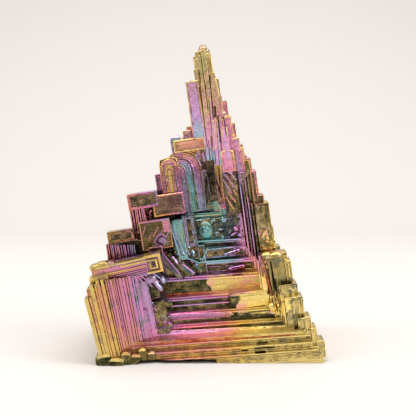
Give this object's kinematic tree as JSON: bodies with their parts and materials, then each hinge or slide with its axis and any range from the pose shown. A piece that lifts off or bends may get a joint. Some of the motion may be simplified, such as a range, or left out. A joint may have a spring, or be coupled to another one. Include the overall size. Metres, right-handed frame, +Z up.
{
  "type": "bismuth hopper crystal",
  "caption": "Stepped bismuth hopper crystal: a hollow-faced stair base with a ribbed side wing rising to a thin ribbed spire, flat where it rests.",
  "frame": {"origin": "bottom centre of the bounding box, on the flat the crystal rests on", "axes": "+Z up to the spire, -Y out of the hollow stepped front face, +X to the right of a viewer who faces that front"},
  "size_m": [0.0622, 0.047, 0.0838],
  "materials": {
    "bismuth_oxide_film": "bismuth metal under a thin iridescent oxide film, gold to magenta to teal, satin to glossy"
  },
  "bodies": {
    "root": {"bismuth_crystal": "bismuth_oxide_film"}
  },
  "joints": []
}
